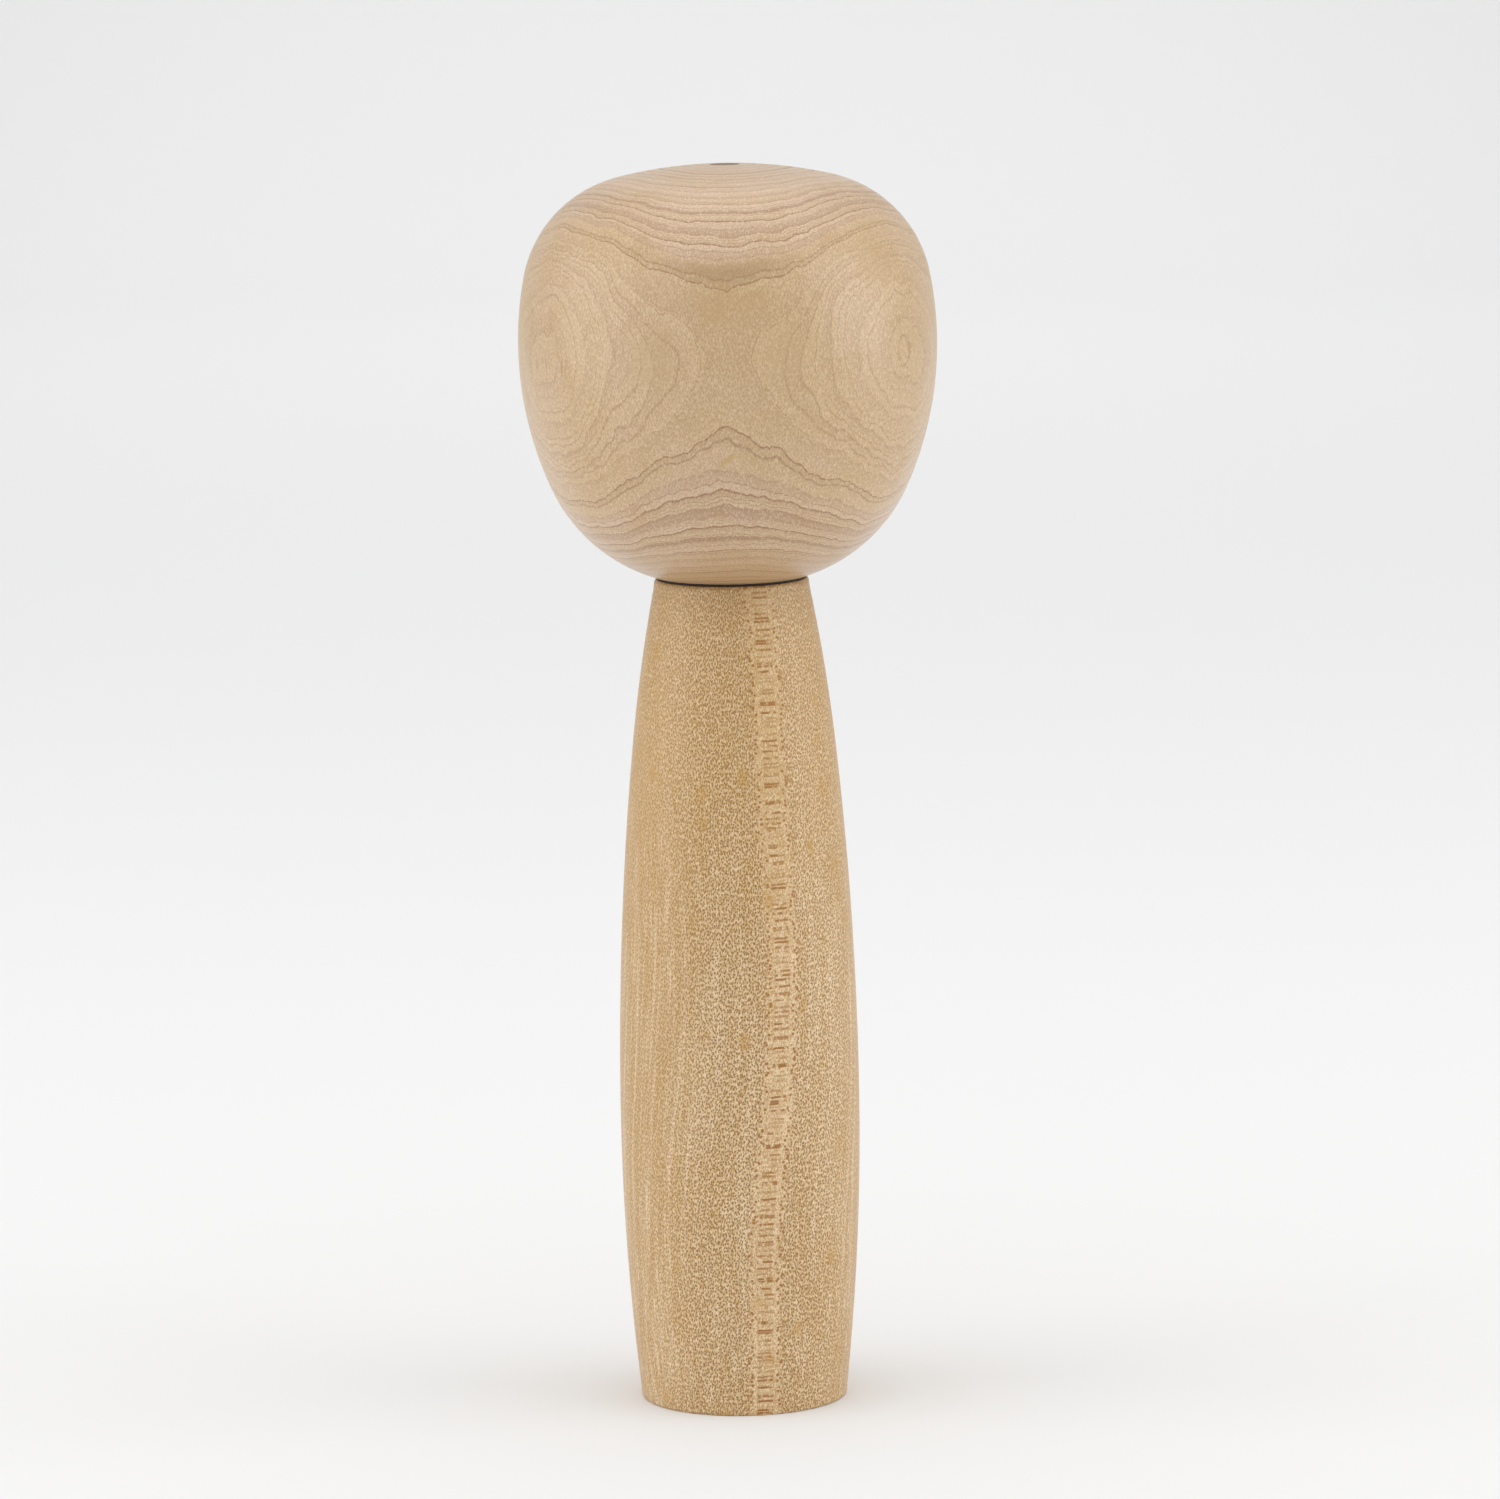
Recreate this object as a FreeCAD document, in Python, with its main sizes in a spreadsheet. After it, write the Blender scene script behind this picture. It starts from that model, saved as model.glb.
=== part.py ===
import FreeCAD, Part
import math
import os
import Sketcher
from FreeCAD import Vector

# A two-part turned wooden figure: a bellied body, a large round head that turns on a dowel and
# lifts off, a thin washer between them, and a plug in the head's lathe centre hole.
# Millimetres. +Z is up, along the turning axis. The origin is the middle of the base.

DIMENSIONS = {
    # the body's outline, from the base up
    "base_radius": 19.9,
    "belly_radius": 23.2,
    "belly_height": 57.5,
    "shoulder_radius": 19.6,
    "shoulder_height": 128.0,
    "neck_radius": 14.65,
    "body_height": 160.5,
    # the body's dished base and eased edges
    "rim_width": 4.5,
    "dish_depth": 1.2,
    "base_easing": 0.4,
    "neck_easing": 0.2,
    # the washer at the neck
    "washer_thickness": 0.5,
    "washer_inset": 0.3,
    "washer_clearance": 0.3,
    # the dowel, loose in the body's socket and glued in the head
    "dowel_radius": 6.0,
    "dowel_in_body": 24.0,
    "dowel_in_head": 30.0,
    "dowel_chamfer": 1.0,
    "running_clearance": 0.06,
    "glue_gap": 0.03,
    "end_gap": 1.5,
    "socket_chamfer": 0.6,
    # the head's outline, with heights above its flat seat
    "head_radius": 40.1,
    "cheek_height": 44.9,
    "cheek_curve": 67.5,
    "jaw_height": 17.2,
    "brow_curve": 23.9,
    "crown_curve": 90.0,
    "head_height": 79.0,
    # the plug in the crown
    "plug_radius": 2.9,
    "plug_length": 8.0,
    "plug_end_gap": 0.2,
}
SEAT_HEIGHT = "body_height + washer_thickness"
DRILL_POINT = 118.0

doc = FreeCAD.newDocument("TurnedFigure")
sheet = doc.addObject("Spreadsheet::Sheet", "Dimensions")
for row, (alias, size) in enumerate(DIMENSIONS.items(), start=1):
    sheet.set(f"A{row}", alias)
    sheet.set(f"B{row}", str(size))
    sheet.setAlias(f"B{row}", alias)
doc.recompute()


def size(alias):
    """The size that the sheet holds under an alias."""
    return float(sheet.get(alias))


def formula(text):
    """The same formula with the sheet's name before each of its aliases."""
    words = text.replace("(", "( ").replace(")", " )").split()
    return " ".join(f"{sheet.Name}.{word}" if word in DIMENSIONS else word for word in words)


# -------------------------------------------------------------------------------- sketches

def new_body(label, height=None):
    """A sub-part with its own frame, which a formula lifts up the turning axis."""
    body = doc.addObject("PartDesign::Body", label)
    body.Label = label
    if height:
        body.setExpression("Placement.Base.z", formula(height))
    return body


def new_sketch(body, name, plane, height=None):
    """A sketch on one of the body's own origin planes, or a formula's height above it."""
    sketch = body.newObject("Sketcher::SketchObject", name)
    origin_plane = next(item for item in body.Origin.OriginFeatures if item.Role == plane)
    sketch.AttachmentSupport = [(origin_plane, "")]
    sketch.MapMode = "FlatFace"
    if height:
        sketch.setExpression("AttachmentOffset.Base.z", formula(height))
    return sketch


def bind(sketch, constraint, text):
    """Adds a dimension to a sketch and ties it to the sheet."""
    index = sketch.addConstraint(constraint)
    sketch.setExpression(f"Constraints[{index}]", formula(text))


def bind_radius(sketch, arc, text):
    bind(sketch, Sketcher.Constraint("Radius", arc, sketch.Geometry[arc].Radius), text)


def bind_point(sketch, arc, end, across=None, up=None):
    """Holds a point at formulas for its distance from the axis and its height."""
    point = sketch.getPoint(arc, end)
    if across:
        bind(sketch, Sketcher.Constraint("DistanceX", -1, 1, arc, end, point.x), across)
    if up:
        bind(sketch, Sketcher.Constraint("DistanceY", -1, 1, arc, end, point.y), up)


class Outline:
    """A closed half-section: lines and arcs in a chain, from the origin round to the axis."""

    def __init__(self, sketch):
        self.sketch = sketch
        self.here = Vector(0, 0, 0)
        self.last = (-1, 1)
        self.end = {}

    def add(self, geometry, begin, end, point, joint):
        index = self.sketch.addGeometry(geometry, False)
        self.sketch.addConstraint(Sketcher.Constraint(joint, *self.last, index, begin))
        self.here = point
        self.last = (index, end)
        self.end[index] = end
        return index

    def line(self, point, direction):
        """A straight run, Horizontal or Vertical."""
        index = self.add(Part.LineSegment(self.here, point), 1, 2, point, "Coincident")
        self.sketch.addConstraint(Sketcher.Constraint(direction, index))
        return index

    def arc(self, centre, point, joint="Tangent"):
        """An arc about a centre, the short way round, tangent to the run before it or not."""
        before = self.here - centre
        after = point - centre
        anticlockwise = before.cross(after).z > 0
        angles = [math.atan2(before.y, before.x), math.atan2(after.y, after.x)]
        circle = Part.Circle(centre, Vector(0, 0, 1), before.Length)
        if anticlockwise:
            return self.add(Part.ArcOfCircle(circle, *angles), 1, 2, point, joint)
        return self.add(Part.ArcOfCircle(circle, *reversed(angles)), 2, 1, point, joint)

    def close(self):
        """The last run: down the axis to the origin."""
        axis = self.line(Vector(0, 0, 0), "Vertical")
        self.sketch.addConstraint(Sketcher.Constraint("Coincident", axis, 2, -1, 1))


def level_centre(widest, other):
    """The centre, level with the widest point, of the arc that goes through the other point."""
    across = widest.x - other.x
    up = widest.y - other.y
    radius = (across**2 + up**2) / (2 * across)
    return Vector(widest.x - radius, widest.y, 0)


def tangent_centre(start, centre, end):
    """The centre of the arc from start to end that carries on from an arc about a centre."""
    outward = (start - centre).normalize()
    chord = end - start
    radius = -chord.dot(chord) / (2 * chord.dot(outward))
    return start - outward * radius


def rounding_centre(centre, radius, other_centre, other_radius):
    """The outermost crossing of two circles: a rounding's centre, given its distance from two others."""
    apart = other_centre - centre
    along = (radius**2 - other_radius**2 + apart.dot(apart)) / (2 * apart.Length)
    across = math.sqrt(radius**2 - along**2)
    direction = apart.normalize()
    sideways = Vector(-direction.y, direction.x, 0)
    crossings = [centre + direction * along + sideways * side * across for side in (-1, 1)]
    return max(crossings, key=lambda crossing: crossing.x)


# -------------------------------------------------------------------------------- features

def turn(body, kind, sketch):
    """A Revolution or a Groove of a half-section, all the way round the turning axis."""
    feature = body.newObject(f"PartDesign::{kind}", f"{sketch.Name}_{kind.lower()}")
    feature.Profile = sketch
    feature.ReferenceAxis = (sketch, ["V_Axis"])
    feature.Angle = 360.0
    return feature


def pad(body, name, radii, length):
    """A round bar or ring, upward from the body's XY plane."""
    sketch = new_sketch(body, f"{name}_outline", "XY_Plane")
    for radius in radii:
        index = sketch.addGeometry(Part.Circle(Vector(0, 0, 0), Vector(0, 0, 1), 1.0), False)
        sketch.addConstraint(Sketcher.Constraint("Coincident", index, 3, -1, 1))
        bind_radius(sketch, index, radius)
    feature = body.newObject("PartDesign::Pad", name)
    feature.Profile = sketch
    feature.setExpression("Length", formula(length))
    return feature


def drill(body, name, radius, depth, height=None, upward=False):
    """A drilled hole on the turning axis, with the drill's point at its end."""
    sketch = new_sketch(body, f"{name}_centre", "XY_Plane", height)
    index = sketch.addGeometry(Part.Circle(Vector(0, 0, 0), Vector(0, 0, 1), 1.0), False)
    sketch.addConstraint(Sketcher.Constraint("Coincident", index, 3, -1, 1))
    bind_radius(sketch, index, radius)
    doc.recompute()
    volume = body.Shape.Volume
    hole = body.newObject("PartDesign::Hole", name)
    hole.Profile = sketch
    hole.DepthType = "Dimension"
    hole.DrillPoint = "Angled"
    hole.DrillPointAngle = DRILL_POINT
    hole.Reversed = upward
    hole.setExpression("Diameter", formula(f"2 * ({radius})"))
    hole.setExpression("Depth", formula(depth))
    doc.recompute()
    if not body.Shape.Volume < volume:
        raise RuntimeError(f"{name} cuts nothing")


def ease(body, kind, name, width, radius, height):
    """A Fillet or a Chamfer on the circular edge of a radius at a height, both read as built."""
    doc.recompute()
    to_local = body.Placement.inverse()
    names = []
    for number, edge in enumerate(body.Shape.Edges, start=1):
        if edge.Degenerated or not isinstance(edge.Curve, Part.Circle):
            continue
        edge_height = to_local.multVec(edge.Curve.Center).z
        if math.isclose(edge.Curve.Radius, radius, abs_tol=1e-4) and abs(edge_height - height) < 1e-4:
            names.append(f"Edge{number}")
    base = body.Tip
    feature = body.newObject(f"PartDesign::{kind}", name)
    feature.Base = (base, names)
    feature.setExpression("Radius" if kind == "Fillet" else "Size", formula(width))


# ------------------------------------------------------------------------------------ body
# Turned from one blank: two arcs meet upright at the belly, and a third goes on to the neck.

body = new_body("body")
base = Vector(size("base_radius"), 0, 0)
belly = Vector(size("belly_radius"), size("belly_height"), 0)
shoulder = Vector(size("shoulder_radius"), size("shoulder_height"), 0)
neck = Vector(size("neck_radius"), size("body_height"), 0)
belly_centre = level_centre(belly, shoulder)

sketch = new_sketch(body, "body_outline", "XZ_Plane")
outline = Outline(sketch)
bottom = outline.line(base, "Horizontal")
foot_arc = outline.arc(level_centre(belly, base), belly, "Coincident")
belly_arc = outline.arc(belly_centre, shoulder)
neck_arc = outline.arc(tangent_centre(shoulder, belly_centre, neck), neck)
outline.line(Vector(0, neck.y, 0), "Horizontal")
outline.close()
sketch.addConstraint(Sketcher.Constraint("Horizontal", foot_arc, 3, foot_arc, outline.end[foot_arc]))
bind_point(sketch, bottom, 2, across="base_radius")
bind_point(sketch, foot_arc, outline.end[foot_arc], "belly_radius", "belly_height")
bind_point(sketch, belly_arc, outline.end[belly_arc], "shoulder_radius", "shoulder_height")
bind_point(sketch, neck_arc, outline.end[neck_arc], "neck_radius", "body_height")
turn(body, "Revolution", sketch)

# The base is dished, so that it stands on a flat rim.
dish_edge = Vector(size("base_radius") - size("rim_width"), 0, 0)
dish_top = Vector(0, size("dish_depth"), 0)
dish_curve = (dish_edge.x**2 + dish_top.y**2) / (2 * dish_top.y)
sketch = new_sketch(body, "dish_outline", "XZ_Plane")
outline = Outline(sketch)
dish_line = outline.line(dish_edge, "Horizontal")
dish_arc = outline.arc(Vector(0, dish_top.y - dish_curve, 0), dish_top, "Coincident")
outline.close()
sketch.addConstraint(Sketcher.Constraint("PointOnObject", dish_arc, 3, -2))
bind_point(sketch, dish_line, 2, across="base_radius - rim_width")
bind_point(sketch, dish_arc, outline.end[dish_arc], up="dish_depth")
turn(body, "Groove", sketch)

drill(body, "neck_socket", "dowel_radius + running_clearance", "dowel_in_body + end_gap", "body_height")
ease(body, "Fillet", "base_edge", "base_easing", base.x, 0)
ease(body, "Fillet", "neck_edge", "neck_easing", neck.x, neck.y)
socket_radius = size("dowel_radius") + size("running_clearance")
ease(body, "Chamfer", "socket_mouth", "socket_chamfer", socket_radius, neck.y)

# ----------------------------------------------------------------------------- neck_washer
# A thin ring that lies loose on the neck, just inside its edge, and clears the dowel.

washer = new_body("neck_washer", "body_height")
washer_radii = ["neck_radius - washer_inset", "dowel_radius + washer_clearance"]
pad(washer, "washer_ring", washer_radii, "washer_thickness")

# ----------------------------------------------------------------------------- neck_dowel
# A hardwood pin, chamfered at both ends: it turns in the body's socket and is glued in the head.

dowel = new_body("neck_dowel", "body_height - dowel_in_body")
dowel_length = size("dowel_in_body") + size("washer_thickness") + size("dowel_in_head")
pad(dowel, "dowel_bar", ["dowel_radius"], "dowel_in_body + washer_thickness + dowel_in_head")
ease(dowel, "Chamfer", "dowel_foot", "dowel_chamfer", size("dowel_radius"), 0)
ease(dowel, "Chamfer", "dowel_top", "dowel_chamfer", size("dowel_radius"), dowel_length)

# ------------------------------------------------------------------------------------ head
# Turned from one blank, its own frame at its flat seat: jaw, cheek, brow and crown arcs in turn.

head = new_body("head", SEAT_HEIGHT)
seat = Vector(size("neck_radius"), 0, 0)
cheek = Vector(size("head_radius"), size("cheek_height"), 0)
cheek_centre = cheek - Vector(size("cheek_curve"), 0, 0)
jaw_rise = cheek.y - size("jaw_height")
jaw = cheek_centre + Vector(math.sqrt(size("cheek_curve") ** 2 - jaw_rise**2), -jaw_rise, 0)
crown = Vector(0, size("head_height"), 0)
crown_centre = crown - Vector(0, size("crown_curve"), 0)
crown_reach = size("crown_curve") - size("brow_curve")
cheek_reach = size("cheek_curve") - size("brow_curve")
brow_centre = rounding_centre(crown_centre, crown_reach, cheek_centre, cheek_reach)
brow_foot = cheek_centre + (brow_centre - cheek_centre) * (size("cheek_curve") / cheek_reach)
brow_top = crown_centre + (brow_centre - crown_centre) * (size("crown_curve") / crown_reach)

sketch = new_sketch(head, "head_outline", "XZ_Plane")
outline = Outline(sketch)
seat_line = outline.line(seat, "Horizontal")
jaw_arc = outline.arc(tangent_centre(jaw, cheek_centre, seat), jaw, "Coincident")
low_cheek_arc = outline.arc(cheek_centre, cheek)
high_cheek_arc = outline.arc(cheek_centre, brow_foot)
brow_arc = outline.arc(brow_centre, brow_top)
crown_arc = outline.arc(crown_centre, crown)
outline.close()
cheek_end = outline.end[low_cheek_arc]
sketch.addConstraint(Sketcher.Constraint("Horizontal", low_cheek_arc, 3, low_cheek_arc, cheek_end))
sketch.addConstraint(Sketcher.Constraint("PointOnObject", crown_arc, 3, -2))
bind_point(sketch, seat_line, 2, across="neck_radius")
bind_point(sketch, jaw_arc, outline.end[jaw_arc], up="jaw_height")
bind_point(sketch, low_cheek_arc, cheek_end, "head_radius", "cheek_height")
bind_point(sketch, crown_arc, outline.end[crown_arc], up="head_height")
bind_radius(sketch, low_cheek_arc, "cheek_curve")
bind_radius(sketch, high_cheek_arc, "cheek_curve")
bind_radius(sketch, brow_arc, "brow_curve")
bind_radius(sketch, crown_arc, "crown_curve")
turn(head, "Revolution", sketch)

drill(head, "dowel_bore", "dowel_radius + glue_gap", "dowel_in_head + end_gap", upward=True)
drill(head, "crown_hole", "plug_radius + glue_gap", "plug_length + plug_end_gap", "head_height")

# ----------------------------------------------------------------------------- crown_plug
# Fills the lathe's centre hole, with its top turned flush with the crown.

plug = new_body("crown_plug", f"{SEAT_HEIGHT} + head_height - plug_length")
plug_top = Vector(0, size("plug_length"), 0)
plug_centre = plug_top - Vector(0, size("crown_curve"), 0)
plug_fall = size("crown_curve") - math.sqrt(size("crown_curve") ** 2 - size("plug_radius") ** 2)

sketch = new_sketch(plug, "plug_outline", "XZ_Plane")
outline = Outline(sketch)
plug_foot = outline.line(Vector(size("plug_radius"), 0, 0), "Horizontal")
outline.line(Vector(size("plug_radius"), plug_top.y - plug_fall, 0), "Vertical")
plug_arc = outline.arc(plug_centre, plug_top, "Coincident")
outline.close()
sketch.addConstraint(Sketcher.Constraint("PointOnObject", plug_arc, 3, -2))
bind_point(sketch, plug_foot, 2, across="plug_radius")
bind_point(sketch, plug_arc, outline.end[plug_arc], up="plug_length")
bind_radius(sketch, plug_arc, "crown_curve")
turn(plug, "Revolution", sketch)

# ---------------------------------------------------------------------------- check and write

doc.recompute()
for item in doc.Objects:
    if "Invalid" in item.State or "Error" in item.State:
        raise RuntimeError(f"{item.Label} failed: {item.State}")
for item in doc.findObjects("Sketcher::SketchObject"):
    if item.solve() != 0 or not item.FullyConstrained:
        raise RuntimeError(f"{item.Label} is not fully constrained")

os.makedirs("parts", exist_ok=True)
for item in doc.findObjects("PartDesign::Body"):
    shape = item.Shape
    if shape.isNull() or not shape.isValid() or len(shape.Solids) != 1:
        raise RuntimeError(f"{item.Label} has no single valid solid")
    shape.exportStep(f"parts/{item.Label}.step")
    box = shape.optimalBoundingBox()
    print(f"{item.Label}: {shape.Volume / 1000:.2f} cm3, z {box.ZMin:.3f} to {box.ZMax:.3f} mm")
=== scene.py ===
import math

import bpy
import numpy as np
from mathutils import Matrix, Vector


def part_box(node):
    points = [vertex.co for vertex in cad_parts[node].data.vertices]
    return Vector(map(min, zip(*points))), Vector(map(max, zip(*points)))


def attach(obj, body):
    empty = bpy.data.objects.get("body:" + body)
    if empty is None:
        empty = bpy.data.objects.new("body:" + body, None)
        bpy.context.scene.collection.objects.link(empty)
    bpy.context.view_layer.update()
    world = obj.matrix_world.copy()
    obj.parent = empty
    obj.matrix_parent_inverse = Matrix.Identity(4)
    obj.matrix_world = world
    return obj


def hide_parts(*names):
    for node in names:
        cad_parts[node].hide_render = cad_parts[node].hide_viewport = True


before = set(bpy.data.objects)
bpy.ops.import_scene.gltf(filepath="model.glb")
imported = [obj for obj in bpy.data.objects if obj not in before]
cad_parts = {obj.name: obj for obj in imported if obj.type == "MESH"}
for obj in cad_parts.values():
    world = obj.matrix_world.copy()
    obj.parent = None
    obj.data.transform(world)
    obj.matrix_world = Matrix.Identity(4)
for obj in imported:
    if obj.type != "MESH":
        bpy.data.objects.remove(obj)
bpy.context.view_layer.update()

# ------------------------------------------------------------------------------------ body
# The lower piece: pale maple turned from one blank, bellied, narrow at the neck, sanded fine and
# left bare. A drilled socket in its top takes the head's dowel, and its base is slightly dished.
# A quarter-sawn strip with broad ray flecks runs up its front, a little to the right.

MM = 0.001


def outer_skin(node, spacing=0.7 * MM):
    """The outside of a convex turned piece, as (radius, height) from its foot to its top.

    The CAD node's points, laid out by radius and height, are cut down to their outer hull and to
    0.15 mm apart. Between two of them runs the cubic that leaves and arrives along the slopes
    there: p = a h1(t) + b h2(t) + da h3(t) + db h4(t), the Hermite polynomials of t from 0 to 1.
    """
    points = np.empty(len(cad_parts[node].data.vertices) * 3, np.float32)
    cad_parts[node].data.vertices.foreach_get("co", points)
    points = points.reshape(-1, 3).astype(float)
    section = np.stack([np.hypot(points[:, 0], points[:, 1]), points[:, 2]], axis=1)
    section = np.unique(section.round(6), axis=0)
    section = section[section[:, 0] > 0]
    hull = []
    for point in section[np.lexsort((section[:, 0], section[:, 1]))]:
        while len(hull) > 1 and np.cross(hull[-1] - hull[-2], point - hull[-1]) <= 0:
            hull.pop()
        hull.append(point)
    knots = hull[:2]
    for point in hull[2:]:
        if np.hypot(*(point - knots[-1])) >= 0.15 * MM:
            knots.append(point)
    knots[-1] = hull[-1]
    knots = np.array(knots[1:])

    along = np.concatenate([[0], np.cumsum(np.hypot(*np.diff(knots, axis=0).T))])
    slopes = np.gradient(knots, along, axis=0, edge_order=2)
    evenly = np.linspace(0, along[-1], round(along[-1] / spacing) + 1)
    places = np.unique(np.concatenate([evenly, along]).round(6))
    places = places.clip(0, along[-1])
    left = np.clip(np.searchsorted(along, places, side="right") - 1, 0, len(along) - 2)
    length = (along[left + 1] - along[left])[:, None]
    t = ((places - along[left]) / length[:, 0])[:, None]
    return (
        knots[left] * (1 + 2 * t) * (1 - t) ** 2
        + knots[left + 1] * t**2 * (3 - 2 * t)
        + slopes[left] * length * t * (1 - t) ** 2
        - slopes[left + 1] * length * t**2 * (1 - t)
    )


def turned_piece(name, section, seams_up=240):
    """A solid of revolution from a half-section that starts and ends on the axis.

    Point (i, j) is (radius[i] sin(a), -radius[i] cos(a), height[i]) at azimuth a = turn j / seams_up,
    from the back round by the left. Its UV map unrolls it: azimuth across, distance along the
    section upward.
    """
    radius, height = np.asarray(section).T
    rows = len(radius) - 2
    azimuth = np.linspace(-math.pi, math.pi, seams_up, endpoint=False)
    ring_radius = radius[1:-1, None]
    x = ring_radius * np.sin(azimuth)
    y = -ring_radius * np.cos(azimuth)
    z = np.repeat(height[1:-1, None], seams_up, axis=1)
    points = np.stack([x, y, z], axis=-1).reshape(-1, 3)
    points = np.vstack([points, [[0, 0, height[0]], [0, 0, height[-1]]]])

    row, column = np.mgrid[0:rows - 1, 0:seams_up]
    after = (column + 1) % seams_up
    quads = np.stack([row * seams_up + column, row * seams_up + after,
                      (row + 1) * seams_up + after, (row + 1) * seams_up + column], axis=-1)
    edge = np.arange(seams_up)
    edge_after = (edge + 1) % seams_up
    foot, top = rows * seams_up, rows * seams_up + 1
    foot_fan = np.stack([edge_after, edge, np.full(seams_up, foot)], axis=-1)
    last = (rows - 1) * seams_up
    top_fan = np.stack([last + edge, last + edge_after, np.full(seams_up, top)], axis=-1)
    faces = [list(map(int, face)) for face in quads.reshape(-1, 4)]
    faces += [list(map(int, face)) for face in np.vstack([foot_fan, top_fan])]

    mesh = bpy.data.meshes.new(name)
    mesh.from_pydata(points.tolist(), [], faces)
    mesh.shade_smooth()
    mesh.set_sharp_from_angle(angle=math.radians(40))

    along = np.concatenate([[0], np.cumsum(np.hypot(np.diff(radius), np.diff(height)))])
    along = along / along[-1]
    across = np.arange(seams_up + 1) / seams_up
    low, high = along[1:-1][row], along[1:-1][row + 1]
    left, right = across[column], across[column + 1]
    quad_uv = np.stack([left, low, right, low, right, high, left, high], axis=-1)
    middle = (across[:-1] + across[1:]) / 2
    near, far = np.full(seams_up, along[1]), np.zeros(seams_up)
    foot_uv = np.stack([across[1:], near, across[:-1], near, middle, far], axis=-1)
    near, far = np.full(seams_up, along[-2]), np.ones(seams_up)
    top_uv = np.stack([across[:-1], near, across[1:], near, middle, far], axis=-1)
    uv = np.concatenate([quad_uv.ravel(), foot_uv.ravel(), top_uv.ravel()])
    mesh.uv_layers.new(name="OFBake").data.foreach_set("uv", uv)

    piece = bpy.data.objects.new(name, mesh)
    bpy.context.scene.collection.objects.link(piece)
    return piece


class Grain:
    """The shader nodes of one wood. Every length in it is in millimetres."""

    def __init__(self, name):
        self.material = bpy.data.materials.new(name)
        self.material.use_nodes = True
        self.nodes = self.material.node_tree.nodes
        self.links = self.material.node_tree.links
        self.shader = self.nodes["Principled BSDF"]
        place = self.add("ShaderNodeTexCoord").outputs["Object"]
        self.place = self.vector("SCALE", place, scale=1 / MM)
        split = self.add("ShaderNodeSeparateXYZ", {0: self.place})
        self.x, self.y, self.z = split.outputs

    def add(self, kind, inputs={}, **settings):
        """A node with its settings, and its inputs by name or number: sockets or plain values."""
        node = self.nodes.new(kind)
        for setting, value in settings.items():
            setattr(node, setting, value)
        for slot, value in inputs.items():
            if isinstance(value, bpy.types.NodeSocket):
                self.links.new(value, node.inputs[slot])
            else:
                node.inputs[slot].default_value = value
        return node

    def math(self, operation, *values):
        return self.add("ShaderNodeMath", dict(enumerate(values)), operation=operation).outputs[0]

    def times(self, *values):
        return self.math("MULTIPLY", *values)

    def plus(self, *values):
        return self.math("ADD", *values)

    def minus(self, *values):
        return self.math("SUBTRACT", *values)

    def from_middle(self, x, y):
        """How far a point is from (0, 0): the root of x squared plus y squared."""
        return self.math("SQRT", self.plus(self.math("POWER", x, 2), self.math("POWER", y, 2)))

    def vector(self, operation, *values, scale=None):
        inputs = dict(enumerate(values))
        if scale is not None:
            inputs["Scale"] = scale
        return self.add("ShaderNodeVectorMath", inputs, operation=operation).outputs[0]

    def stretch(self, place, x, y, z):
        """Coordinates in which a grain of this many millimetres each way measures 1."""
        return self.vector("MULTIPLY", place, (1 / x, 1 / y, 1 / z))

    def noise(self, place, detail=2.0, roughness=0.5):
        inputs = {"Vector": place, "Scale": 1.0, "Detail": detail, "Roughness": roughness}
        return self.add("ShaderNodeTexNoise", inputs).outputs[0]

    def line_noise(self, value, detail=1.0):
        inputs = {"W": value, "Scale": 1.0, "Detail": detail}
        return self.add("ShaderNodeTexNoise", inputs, noise_dimensions="1D").outputs[0]

    def cells(self, place):
        """The distance to the nearest of a scatter of points, about one in each unit cell."""
        inputs = {"Vector": place, "Scale": 1.0}
        return self.add("ShaderNodeTexVoronoi", inputs).outputs["Distance"]

    def flat_cells(self, across, along, randomness=0.9):
        """The same for a scatter of points on the skin, which has two coordinates."""
        place = self.add("ShaderNodeCombineXYZ", {0: across, 1: along}).outputs[0]
        inputs = {"Vector": place, "Scale": 1.0, "Randomness": randomness}
        return self.add("ShaderNodeTexVoronoi", inputs, voronoi_dimensions="2D").outputs["Distance"]

    def line_cells(self, value):
        """The same for a scatter of points along a line."""
        inputs = {"W": value, "Scale": 1.0}
        return self.add("ShaderNodeTexVoronoi", inputs, voronoi_dimensions="1D").outputs["Distance"]

    def ramp(self, value, start, end, low=0.0, high=1.0):
        """Eases from low to high as the value goes from start to end."""
        inputs = {0: value, 1: start, 2: end, 3: low, 4: high}
        return self.add("ShaderNodeMapRange", inputs, interpolation_type="SMOOTHSTEP").outputs[0]

    def patch(self, place, centre, size, lean=0.0):
        """1 at the middle of an egg shape of these half-sizes, easing to 0 at its skin."""
        inputs = {"Vector": place, "Center": centre, "Angle": math.radians(lean)}
        turned = self.add("ShaderNodeVectorRotate", inputs, rotation_type="Y_AXIS").outputs[0]
        away = self.vector("DIVIDE", self.vector("SUBTRACT", turned, centre), size)
        length = self.add("ShaderNodeVectorMath", {0: away}, operation="LENGTH").outputs["Value"]
        return self.ramp(length, 1.0, 0.25)

    def tint(self, amount, colour, other):
        """One colour over another, as far as the amount says."""
        node = self.add("ShaderNodeMix", data_type="RGBA")
        for slot, value in ((0, amount), (6, colour), (7, other)):
            if isinstance(value, bpy.types.NodeSocket):
                self.links.new(value, node.inputs[slot])
            else:
                node.inputs[slot].default_value = (*value, 1) if slot else value
        return node.outputs[2]

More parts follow.
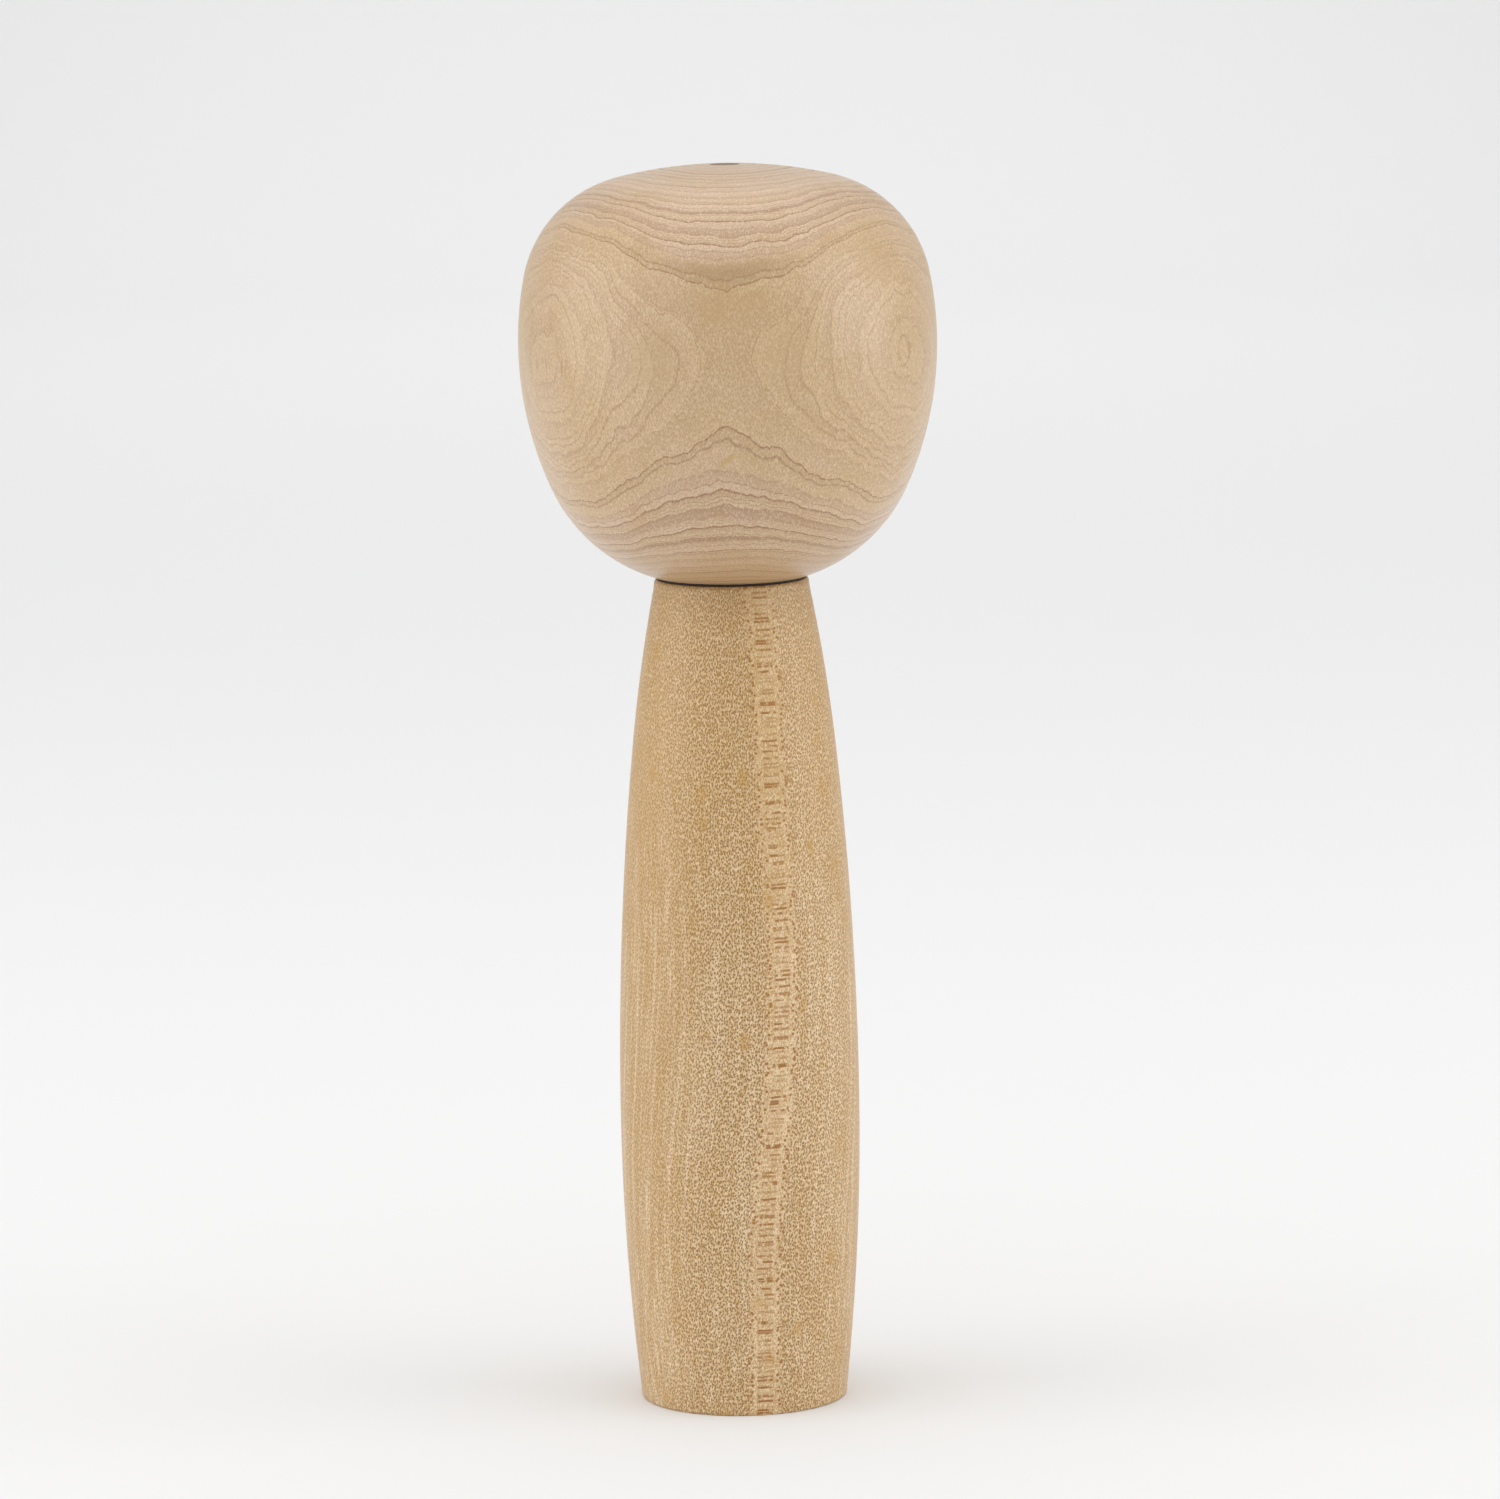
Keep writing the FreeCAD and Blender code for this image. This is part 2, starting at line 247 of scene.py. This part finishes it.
    def finish(self, colour, roughness, relief=None, depth=0.0, wax=0.0):
        """Feeds the shader: a colour, a roughness, a relief of so many millimetres, and wax."""
        self.links.new(colour, self.shader.inputs["Base Color"])
        self.links.new(roughness, self.shader.inputs["Roughness"])
        self.shader.inputs["Coat Weight"].default_value = wax
        self.shader.inputs["Coat Roughness"].default_value = 0.33
        if relief is not None:
            inputs = {"Height": relief, "Strength": 1.0, "Distance": depth * MM}
            bump = self.add("ShaderNodeBump", inputs)
            self.links.new(bump.outputs[0], self.shader.inputs["Normal"])
        return self.material


def body_maple():
    """Straight-grained maple, its rays lying nearly along the surface in the strip."""
    grain = Grain("body_maple")
    # The strip's azimuth, 11 degrees right of the front at the foot, 22 above the belly, a little
    # less towards the neck, and swaying on its way up.
    rise = grain.ramp(grain.z, 25, 88, math.radians(11.0), math.radians(22.2))
    fall = grain.ramp(grain.z, 88, 125, 0.0, math.radians(1.6))
    sway = grain.line_noise(grain.times(grain.z, 1 / 14))
    sway = grain.times(grain.minus(sway, 0.5), math.radians(2.5))
    turned = grain.plus(grain.minus(rise, fall), sway)
    inputs = {"Vector": grain.place, "Angle": grain.times(turned, -1)}
    place = grain.add("ShaderNodeVectorRotate", inputs, rotation_type="Z_AXIS").outputs[0]
    along_rays, across_rays, _ = grain.add("ShaderNodeSeparateXYZ", {0: place}).outputs
    aside = grain.math("ABSOLUTE", along_rays)
    in_strip = grain.ramp(aside, 3.9, 2.8)
    off_strip = grain.ramp(aside, 2.6, 3.6)
    # The stipple fades towards the sides, where the fibres show instead.
    face = grain.ramp(aside, 21, 11, 0.55, 1.0)
    edge_grain = grain.ramp(aside, 11, 20, 0.40, 0.90)

    # Rays are thin upright sheets. In the strip their flats are rungs, in groups, with a row of
    # short ends down each side, on a ground of fine lines.
    groups = grain.line_noise(grain.times(grain.z, 1 / 4.0))
    bend = grain.noise(grain.stretch(place, 1.6, 1.6, 1.6), detail=1)
    bent = grain.plus(grain.z, grain.times(bend, 0.3))
    rung_pitch = 1.05
    rungs = grain.ramp(grain.line_cells(grain.times(bent, 1 / rung_pitch)), 0.27, 0.14)
    rungs = grain.times(rungs, grain.ramp(groups, 0.35, 0.60, 0.35, 1.0))
    broken = grain.noise(grain.stretch(place, 1.2, 1.2, 1.8), detail=1)
    rungs = grain.times(rungs, grain.ramp(broken, 0.34, 0.50))
    rungs = grain.times(rungs, grain.ramp(aside, 1.75, 1.35))
    spread = grain.line_noise(grain.times(grain.z, 1 / 2.4))
    row = grain.minus(aside, grain.ramp(spread, 0.35, 0.65, 2.3, 3.1))
    row = grain.ramp(grain.math("ABSOLUTE", row), 0.60, 0.25)
    ends = grain.flat_cells(along_rays, grain.times(grain.z, 1 / 0.90))
    ends = grain.times(grain.ramp(ends, 0.40, 0.20), row)
    bars = grain.math("MAXIMUM", rungs, ends)
    lines = grain.noise(grain.stretch(place, 6.0, 0.25, 0.22), detail=1)
    lines = grain.times(grain.minus(lines, 0.44), in_strip)
    lines = grain.times(lines, 0.6)

    # Everywhere else the rays' edges make a close stipple of upright dashes on paler wood, with
    # the sandy grain of the pores between them.
    round_it = grain.math("ARCTAN2", along_rays, grain.times(across_rays, -1))
    skin_radius, dash_apart, dash_pitch = 22, 0.42, 0.74
    stipple = grain.flat_cells(
        grain.times(round_it, skin_radius / dash_apart), grain.times(grain.z, 1 / dash_pitch))
    dashes = grain.times(grain.ramp(stipple, 0.38, 0.14), off_strip)
    dashes = grain.times(dashes, face)
    gaps = grain.times(grain.ramp(stipple, 0.36, 0.60), off_strip)
    gaps = grain.times(gaps, face)
    sand = grain.noise(grain.stretch(place, 0.20, 0.20, 0.40), detail=1)
    sand = grain.times(grain.minus(sand, 0.5), face)

    # Growth rings stand across the rays, and the fibres run up the piece.
    waver = grain.noise(grain.stretch(place, 9, 9, 60))
    ring_width = 2.3
    rings = grain.plus(grain.times(along_rays, 1 / ring_width), waver)
    ring_phase = grain.math("FRACT", rings)
    late_wood = grain.ramp(ring_phase, 0.55, 0.97)
    ring_lines = grain.times(late_wood, grain.ramp(ring_phase, 1.0, 0.97))
    fibres = grain.noise(grain.stretch(place, 0.55, 0.55, 26), detail=2)
    streaks = grain.noise(grain.stretch(place, 1.2, 1.2, 65), detail=2)
    blotches = grain.noise(grain.stretch(place, 4.5, 4.5, 12), detail=3)
    clouds = grain.noise(grain.stretch(place, 26, 26, 50))

    cream = (0.88, 0.68, 0.44)
    pale = (0.605, 0.418, 0.232)
    tan = (0.525, 0.340, 0.158)
    ochre = (0.500, 0.290, 0.085)
    ray_brown = (0.215, 0.098, 0.020)
    rung_orange = (0.340, 0.130, 0.014)
    colour = grain.tint(grain.ramp(clouds, 0.35, 0.65), pale, tan)
    colour = grain.tint(grain.ramp(streaks, 0.48, 0.64, 0.0, 0.80), colour, ochre)
    colour = grain.tint(grain.ramp(streaks, 0.48, 0.36, 0.0, 0.45), colour, cream)
    colour = grain.tint(grain.ramp(blotches, 0.56, 0.72, 0.0, 0.60), colour, ochre)
    fibre_tint = grain.times(grain.ramp(fibres, 0.42, 0.72), edge_grain)
    colour = grain.tint(fibre_tint, colour, ochre)
    fibre_light = grain.times(grain.ramp(fibres, 0.46, 0.25), edge_grain)
    colour = grain.tint(grain.times(fibre_light, 0.8), colour, cream)
    colour = grain.tint(grain.times(ring_lines, 0.22), colour, ochre)
    colour = grain.tint(grain.ramp(lines, 0.0, 0.22, 0.0, 0.75), colour, cream)
    colour = grain.tint(grain.ramp(lines, 0.0, -0.20, 0.0, 0.65), colour, ray_brown)
    # The wood is more ochre above the belly.
    colour = grain.tint(grain.ramp(grain.z, 75, 130, 0.0, 0.55), colour, ochre)
    colour = grain.tint(grain.times(in_strip, 0.22), colour, cream)
    colour = grain.tint(grain.times(gaps, 0.40), colour, cream)
    colour = grain.tint(grain.ramp(sand, -0.02, -0.14, 0.0, 0.80), colour, cream)
    colour = grain.tint(grain.ramp(sand, 0.02, 0.14, 0.0, 0.95), colour, ochre)
    colour = grain.tint(grain.times(dashes, 0.92), colour, ray_brown)
    colour = grain.tint(grain.times(bars, 0.95), colour, rung_orange)
    colour = grain.tint(grain.ramp(grain.z, 75, 130, 0.0, 0.14), colour, ochre)
    # Painted shade: the last few millimetres under the joint, shadowed by the head's overhang, are
    # darkened.
    joint_height = 160.5
    joint_shade = grain.ramp(grain.z, 150, joint_height)
    colour = grain.tint(grain.times(joint_shade, 0.22), colour, (0.34, 0.20, 0.08))
    roughness = grain.ramp(dashes, 0.0, 1.0, 0.46, 0.38)
    spots = grain.ramp(grain.cells(grain.stretch(place, 8, 8, 13)), 0.20, 0.05)
    colour = grain.tint(grain.times(spots, 0.45), colour, (0.52, 0.27, 0.045))
    relief = grain.minus(gaps, grain.plus(dashes, bars))
    return grain.finish(colour, roughness, relief, depth=0.008, wax=0.15)


dowel_low, dowel_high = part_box("neck_dowel")
dowel_radius = dowel_high.x
running_clearance = 0.06 * MM
drill_slope = math.tan(math.radians(31))

body_skin = outer_skin("body")
rim_inside = 15.4 * MM
dish_depth = 1.2 * MM
# Fault: these radii run in from the rim and should run out from the axis. The foot's faces fold
# back and cross inside the base, and from below it shows a shallow cone with a groove inside its
# edge, not the dish of the CAD body.
dish_radius = rim_inside * (1 - np.linspace(1, 0, 12)[::-1])
dish_height = dish_depth * (1 - (dish_radius / rim_inside) ** 2)
socket_radius = dowel_radius + running_clearance
socket_floor = dowel_low.z - 1.5 * MM
socket_mouth = 0.6 * MM
body_top = body_skin[-1, 1]
body_section = [
    *np.stack([dish_radius, dish_height], axis=1),
    *body_skin,
    (socket_radius + socket_mouth, body_top),
    (socket_radius, body_top - socket_mouth),
    (socket_radius, socket_floor),
    (0, socket_floor - socket_radius * drill_slope),
]
body = turned_piece("body_turning", body_section)
body.data.materials.append(body_maple())
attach(body, "torso")
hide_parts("body")

# ----------------------------------------------------------------------------- neck washer
# A thin ring of fibre, loose on the neck, that lets the head turn without squeaking. Its near-black is
# painted shade: its matt edge is all that shows, the dark shadow line in the gap between body and head.


def black_fibre():
    """Matt near-black, painted shade for the gap at the joint, a little uneven, with short pale hairs
    of fibre.
    """
    grain = Grain("black_fibre")
    hairs = grain.ramp(grain.noise(grain.stretch(grain.place, 0.5, 0.5, 0.08), detail=3), 0.5, 0.8)
    colour = grain.tint(hairs, (0.012, 0.009, 0.008), (0.030, 0.024, 0.020))
    return grain.finish(colour, grain.ramp(hairs, 0, 1, 0.75, 0.9), hairs, depth=0.01)


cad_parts["neck_washer"].data.materials.clear()
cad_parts["neck_washer"].data.materials.append(black_fibre())

# ------------------------------------------------------------------------------ neck dowel
# A straight-grained hardwood pin, chamfered at both ends. It is glued in the head and turns in
# the body's socket, so it shows only when the head is lifted off.


def dowel_beech():
    """Straight fibres with short dark ray dashes, and a burnished, slightly glossy skin."""
    grain = Grain("dowel_beech")
    fibres = grain.noise(grain.stretch(grain.place, 0.4, 0.4, 22), detail=3)
    bands = grain.noise(grain.stretch(grain.place, 2.2, 2.2, 80))
    dashes = grain.ramp(grain.cells(grain.stretch(grain.place, 0.55, 0.55, 2.2)), 0.34, 0.16)
    colour = grain.tint(grain.ramp(bands, 0.35, 0.65), (0.60, 0.40, 0.22), (0.50, 0.31, 0.16))
    colour = grain.tint(grain.ramp(fibres, 0.4, 0.75, 0.0, 0.5), colour, (0.40, 0.23, 0.10))
    colour = grain.tint(grain.times(dashes, 0.55), colour, (0.27, 0.14, 0.06))
    return grain.finish(colour, grain.ramp(bands, 0.3, 0.7, 0.38, 0.46), fibres, depth=0.02)


chamfer = 1.0 * MM
dowel_section = [
    (0, dowel_low.z),
    (dowel_radius - chamfer, dowel_low.z),
    (dowel_radius, dowel_low.z + chamfer),
    *[(dowel_radius, z) for z in np.linspace(dowel_low.z + chamfer, dowel_high.z - chamfer, 12)[1:]],
    (dowel_radius - chamfer, dowel_high.z),
    (0, dowel_high.z),
]
dowel = turned_piece("dowel_pin", dowel_section, seams_up=96)
dowel.data.materials.append(dowel_beech())
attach(dowel, "head")
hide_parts("neck_dowel")

# ------------------------------------------------------------------------------------ head
# The upper piece: a big domed head turned from one blank of the same maple, widest above its
# middle, with a flat seat underneath. Its pith runs up the turning axis, so the growth rings go
# round it like lines of latitude, drawn to a point at the front and closing in ovals either side.


def head_maple():
    """Maple with its growth rings round the turning axis, in three lobes that meet in points."""
    grain = Grain("head_maple")
    wander = grain.noise(grain.stretch(grain.place, 26, 26, 40), detail=1)
    wander = grain.times(grain.minus(wander, 0.5), math.radians(20))
    front = grain.math("ARCTAN2", grain.x, grain.times(grain.y, -1))
    azimuth = grain.plus(front, wander)
    across = grain.from_middle(grain.x, grain.y)
    # Lobes: 1.113 - 0.133 |sin 1.5a|^2.4, with a small sharp notch between them in the outer rings.
    lobe = grain.math("ABSOLUTE", grain.math("SINE", grain.times(azimuth, 1.5)))
    notch = grain.ramp(across, 28, 37, 0.004, 0.010)
    notch = grain.times(notch, grain.math("POWER", 2.7, grain.times(lobe, -7.0)))
    reach = grain.minus(1.113, grain.times(grain.math("POWER", lobe, 2.4), 0.133))
    reach = grain.plus(reach, notch)
    growth = grain.math("DIVIDE", across, reach)
    # The rings waver, less where the skin runs along them and would show it more.
    widest_height = 206
    flat = grain.math("ABSOLUTE", grain.minus(grain.z, widest_height))
    keen = grain.ramp(flat, 0, 26, 0.34, 1.0)
    broad = grain.noise(grain.stretch(grain.place, 13, 13, 30), detail=1)
    ripple = grain.noise(grain.stretch(grain.place, 2.4, 2.4, 9), detail=3, roughness=0.6)
    swell = grain.noise(grain.stretch(grain.place, 5, 5, 9), detail=1)
    waver = grain.plus(grain.times(ripple, 0.75), grain.times(swell, 0.9))
    waver = grain.times(grain.minus(waver, 0.8), keen)
    growth = grain.plus(growth, grain.times(broad, 1.6))
    growth = grain.plus(grain.plus(growth, waver), 0.3)

    # Ring number: rings 2.4 mm wide at the pith narrow to 1.2 mm at the outside.
    crowding = grain.plus(1.0, grain.math("POWER", grain.math("DIVIDE", growth, 70), 2))
    rings = grain.times(grain.math("DIVIDE", growth, 2.4), crowding)
    seasons = grain.line_noise(grain.times(rings, 0.9))
    rings = grain.plus(rings, grain.times(seasons, 0.9))
    rings = grain.plus(rings, 0.85)

    outer = grain.ramp(growth, 35.5, 36.3)

    def ring_line(parts, width):
        """A thin dark line at the end of each ring, or of so many parts of each.

        Each line has its own strength. Its width is a share of the part, and is less where the
        skin runs along the rings.
        """
        steps = grain.times(rings, parts)
        phase = grain.math("FRACT", steps)
        number = grain.math("FLOOR", steps)
        strength = grain.add(
            "ShaderNodeTexWhiteNoise", {"W": number}, noise_dimensions="1D").outputs[0]
        width = grain.times(keen, width)
        start = grain.minus(1.0, width)
        peak = grain.minus(1.0, grain.times(width, 0.35))
        line = grain.times(grain.ramp(phase, start, peak), grain.ramp(phase, 1.0, peak))
        line = grain.times(line, grain.ramp(strength, 0.1, 0.9, 0.15, 1.4))
        line = grain.times(line, grain.ramp(outer, 0, 1, 1.0, 0.70))
        return line, phase, strength

    line, phase, ring_tone = ring_line(1, 0.20)
    fine_line, _, _ = ring_line(3.37, 0.40)
    shade = grain.times(grain.ramp(phase, 0.2, 0.95), grain.ramp(phase, 1.0, 0.96))

    stipple = grain.cells(grain.stretch(grain.place, 0.30, 0.30, 0.60))
    fibres = grain.noise(grain.stretch(grain.place, 0.5, 0.5, 14), detail=3)
    clouds = grain.noise(grain.stretch(grain.place, 16, 16, 22), detail=2)
    blotches = grain.noise(grain.stretch(grain.place, 5, 5, 8), detail=2)

    cream = (0.84, 0.66, 0.48)
    pink = (0.645, 0.462, 0.308)
    honey = (0.605, 0.423, 0.230)
    ochre = (0.500, 0.310, 0.130)
    ring_brown = (0.320, 0.165, 0.070)
    olive = (0.540, 0.375, 0.180)
    outer_warmth = grain.ramp(growth, 33, 36, 0.15, 0.85)
    warmth = grain.plus(grain.ramp(clouds, 0.35, 0.65, -0.25, 0.30), outer_warmth)
    colour = grain.tint(warmth, pink, honey)
    colour = grain.tint(grain.ramp(ring_tone, 0.4, 0.9, 0.0, 0.35), colour, olive)
    colour = grain.tint(grain.ramp(blotches, 0.55, 0.75, 0.0, 0.35), colour, ochre)
    colour = grain.tint(grain.ramp(fibres, 0.40, 0.75, 0.0, 0.16), colour, ochre)
    shade_strength = grain.ramp(growth, 34, 37, 0.28, 0.16)
    colour = grain.tint(grain.times(shade, shade_strength), colour, ring_brown)
    colour = grain.tint(grain.times(fine_line, 0.50), colour, ring_brown)
    colour = grain.tint(grain.times(line, 0.85), colour, ring_brown)
    colour = grain.tint(grain.ramp(stipple, 0.55, 0.85, 0.0, 0.30), colour, cream)
    colour = grain.tint(grain.ramp(stipple, 0.50, 0.20, 0.0, 0.36), colour, ring_brown)
    # The brown point where two lobes meet at the front, above the middle.
    point = grain.ramp(grain.math("ABSOLUTE", grain.minus(growth, 34.9)), 0.9, 0.1)
    side = grain.math("ABSOLUTE", front)
    point = grain.times(point, grain.ramp(side, 0.55, 0.02, 0.0, 1.0))
    point = grain.times(point, grain.ramp(grain.z, 210, 214))
    colour = grain.tint(grain.times(point, 0.55), colour, (0.36, 0.21, 0.09))
    # Mineral stains: soft olive patches either side of the front, an ochre one high on the right,
    # a slanting streak below the middle, and two short upright strokes in the left-hand oval.
    drift = grain.noise(grain.stretch(grain.place, 5, 5, 5), detail=2)
    shaken = grain.vector("ADD", grain.place, grain.vector("SCALE", (9.0, 0.0, 9.0), scale=drift))
    shaken = grain.vector("SUBTRACT", shaken, (4.5, 0.0, 4.5))
    for centre, size, lean, amount, stain in (
        ((-14.5, -37, 206.0), (7, 9, 8), 0, 0.30, olive),
        ((10.5, -38, 207.5), (7, 9, 9), 0, 0.26, olive),
        ((0.0, -39, 217.5), (13, 9, 5.5), 0, 0.40, ochre),
        ((28.5, -25, 223.5), (8, 8, 6), 0, 0.45, ochre),
    ):
        stained = grain.times(grain.patch(shaken, centre, size, lean), amount)
        colour = grain.tint(stained, colour, stain)
    for centre, size, lean, amount, stain in (
        ((-0.5, -37.4, 187.3), (3.4, 3, 0.75), 39, 0.60, (0.50, 0.33, 0.09)),
        ((-31.3, -25.0, 204.0), (0.5, 0.5, 2.4), 0, 0.65, (0.38, 0.22, 0.06)),
        ((-34.4, -20.6, 204.4), (0.4, 0.4, 1.9), 0, 0.55, (0.36, 0.24, 0.12)),
    ):
        stained = grain.times(grain.patch(grain.place, centre, size, lean), amount)
        colour = grain.tint(stained, colour, stain)
    # Painted shade: the last few millimetres above the joint, shaded by the body below, are darkened.
    seat_height = 161
    joint_shade = grain.ramp(grain.z, 172, seat_height)
    colour = grain.tint(grain.times(joint_shade, 0.46), colour, (0.36, 0.20, 0.07))
    roughness = grain.ramp(clouds, 0.3, 0.7, 0.34, 0.42)
    relief = grain.minus(stipple, grain.times(line, 0.5))
    return grain.finish(colour, roughness, relief, depth=0.006, wax=0.5)


plug_low, plug_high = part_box("crown_plug")
glue_gap = 0.03 * MM
bore_radius = dowel_radius + glue_gap
bore_top = dowel_high.z + 1.5 * MM
hole_radius = plug_high.x + glue_gap
hole_floor = plug_low.z - 0.2 * MM
head_skin = outer_skin("head")
seat = head_skin[0, 1]
head_section = [
    (0, bore_top + bore_radius * drill_slope),
    (bore_radius, bore_top),
    (bore_radius, seat),
    *head_skin,
    (hole_radius, hole_floor),
    (0, hole_floor - hole_radius * drill_slope),
]
head = turned_piece("head_turning", head_section)
head.data.materials.append(head_maple())
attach(head, "head")
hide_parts("head")

# ------------------------------------------------------------------------------ crown plug
# A short end-grain plug, glued in the hole that the lathe's centre left and turned flush with
# the crown. End grain soaks up more dirt and wax, so it is the one dark spot on the head.


def plug_end_grain():
    """Dark end grain: fine rings crossed by rays, and pores."""
    grain = Grain("plug_end_grain")
    off_centre = grain.vector("ADD", grain.place, (9.0, 5.0, 0.0))
    flat = grain.add("ShaderNodeSeparateXYZ", {0: off_centre}).outputs
    from_pith = grain.from_middle(flat[0], flat[1])
    arcs = grain.ramp(grain.math("FRACT", grain.times(from_pith, 1.3)), 0.4, 0.95)
    pores = grain.ramp(grain.cells(grain.stretch(grain.place, 0.3, 0.3, 3)), 0.4, 0.15)
    colour = grain.tint(arcs, (0.26, 0.17, 0.105), (0.16, 0.095, 0.055))
    colour = grain.tint(grain.times(pores, 0.6), colour, (0.09, 0.05, 0.03))
    return grain.finish(colour, grain.ramp(pores, 0, 1, 0.55, 0.7), pores, depth=-0.02)


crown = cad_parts["crown_plug"]
crown.data.materials.clear()
crown.data.materials.append(plug_end_grain())

# ---------------------------------------------------------------------------------- studio
# A pale sweep of paper, a soft white tent of light all round, and a long lens from a little
# above the head.


def paper_sweep(half_width=9.0, front=-9.0, bend_start=2.4, bend_radius=1.0, wall_height=4.0):
    """Floor, quarter bend and wall: a profile of (y, z) carried sideways along x."""
    turn = np.linspace(0, math.pi / 2, 33)
    bend = np.stack([bend_start + bend_radius * np.sin(turn), bend_radius * (1 - np.cos(turn))], axis=1)
    profile = np.vstack([[front, 0.0], bend, [bend_start + bend_radius, wall_height]])
    count = len(profile)
    left = np.column_stack([np.full(count, -half_width), profile])
    right = np.column_stack([np.full(count, half_width), profile])
    faces = [[i, count + i, count + i + 1, i + 1] for i in range(count - 1)]
    mesh = bpy.data.meshes.new("paper_sweep")
    mesh.from_pydata(np.vstack([left, right]).tolist(), [], faces)
    mesh.shade_smooth()
    sweep = bpy.data.objects.new("paper_sweep", mesh)
    bpy.context.scene.collection.objects.link(sweep)
    return sweep


def white_paper():
    material = bpy.data.materials.new("white_paper")
    material.use_nodes = True
    shader = material.node_tree.nodes["Principled BSDF"]
    shader.inputs["Base Color"].default_value = (0.86, 0.86, 0.86, 1)
    shader.inputs["Roughness"].default_value = 0.9
    shader.inputs["Specular IOR Level"].default_value = 0.1
    return material


sweep = paper_sweep()
sweep.data.materials.append(white_paper())


def soft_box(name, size, place, aim, watts):
    """A square area light of a size, at a place, turned to face a point."""
    light = bpy.data.lights.new(name, "AREA")
    light.shape = "SQUARE"
    light.size = size
    light.energy = watts
    lamp = bpy.data.objects.new(name, light)
    place, aim = np.array(place), np.array(aim)
    backward = (place - aim) / np.linalg.norm(place - aim)
    across = np.cross([0.0, 1.0, 0.0] if abs(backward[2]) > 0.99 else [0.0, 0.0, 1.0], backward)
    across = across / np.linalg.norm(across)
    upward = np.cross(backward, across)
    lamp.matrix_world = Matrix([[*row] for row in np.column_stack([across, upward, backward, place])]
                               + [[0, 0, 0, 1]])
    bpy.context.scene.collection.objects.link(lamp)
    return lamp


middle = (0.0, 0.0, 0.12)
soft_box("top_box", 2.2, (0.0, -0.1, 1.7), middle, 13.6)
soft_box("left_box", 1.4, (-1.5, -0.3, 0.6), middle, 8.4)
soft_box("right_box", 1.4, (1.5, -0.3, 0.6), middle, 8.4)
back_box = soft_box("back_box", 1.4, (0.0, 2.1, 1.6), (0.0, 2.05, 0.0), 2.3)
back_box.data.spread = math.radians(120)
wall_box = soft_box("wall_box", 1.2, (0.0, 2.5, 1.3), (0.0, 2.45, 0.0), 1.5)
wall_box.data.spread = math.radians(115)

world = bpy.data.worlds.new("white_tent")
world.use_nodes = True
world.node_tree.nodes["Background"].inputs["Color"].default_value = (1, 1, 1, 1)
world.node_tree.nodes["Background"].inputs["Strength"].default_value = 0.62
bpy.context.scene.world = world
bpy.context.scene.view_settings.view_transform = "Standard"

lens = bpy.data.cameras.new("long_lens")
lens.sensor_width = 36
lens.lens = 182.4
lens.clip_start = 0.05
lens.clip_end = 30
camera = bpy.data.objects.new("camera", lens)
distance, above_floor = 1.450, 0.3453
look_down, look_right, lean = 8.562, 0.120, -0.913
camera.matrix_world = (
    Matrix.Translation((0, -distance, above_floor))
    @ Matrix.Rotation(math.radians(-look_right), 4, "Z")
    @ Matrix.Rotation(math.radians(90 - look_down), 4, "X")
    @ Matrix.Rotation(math.radians(lean), 4, "Z")
)
bpy.context.scene.collection.objects.link(camera)
bpy.context.scene.camera = camera
